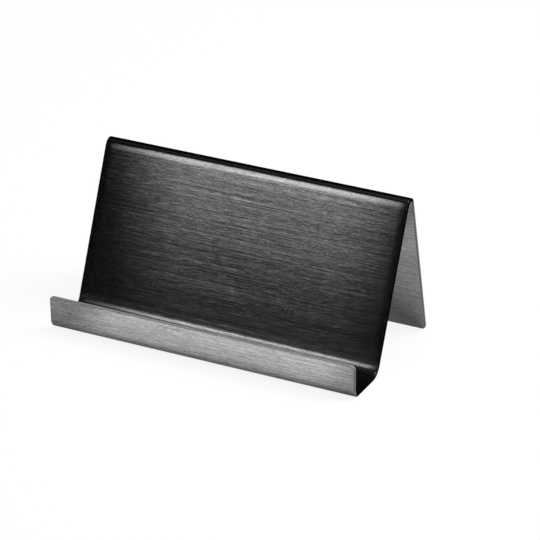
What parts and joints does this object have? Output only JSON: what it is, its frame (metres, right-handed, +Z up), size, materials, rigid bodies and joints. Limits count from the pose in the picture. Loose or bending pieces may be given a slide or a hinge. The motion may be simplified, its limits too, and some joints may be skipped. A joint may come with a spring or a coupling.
{
  "type": "business card holder stand",
  "caption": "Desk stand for business cards folded from black-tinted brushed stainless steel sheet, with a front lip, a tray, a leaning backrest and a rear leg.",
  "frame": {"origin": "centre of the bounding box's footprint, on the surface that the stand rests on", "axes": "+X along the folds, to the right seen from the front; -Y towards the lip, which faces the user; +Z up"},
  "size_m": [0.09, 0.051, 0.045],
  "materials": {
    "brushed_stainless": "black-tinted, brushed along the folds"
  },
  "bodies": {
    "root": {"folded_sheet": "brushed_stainless"}
  },
  "joints": []
}
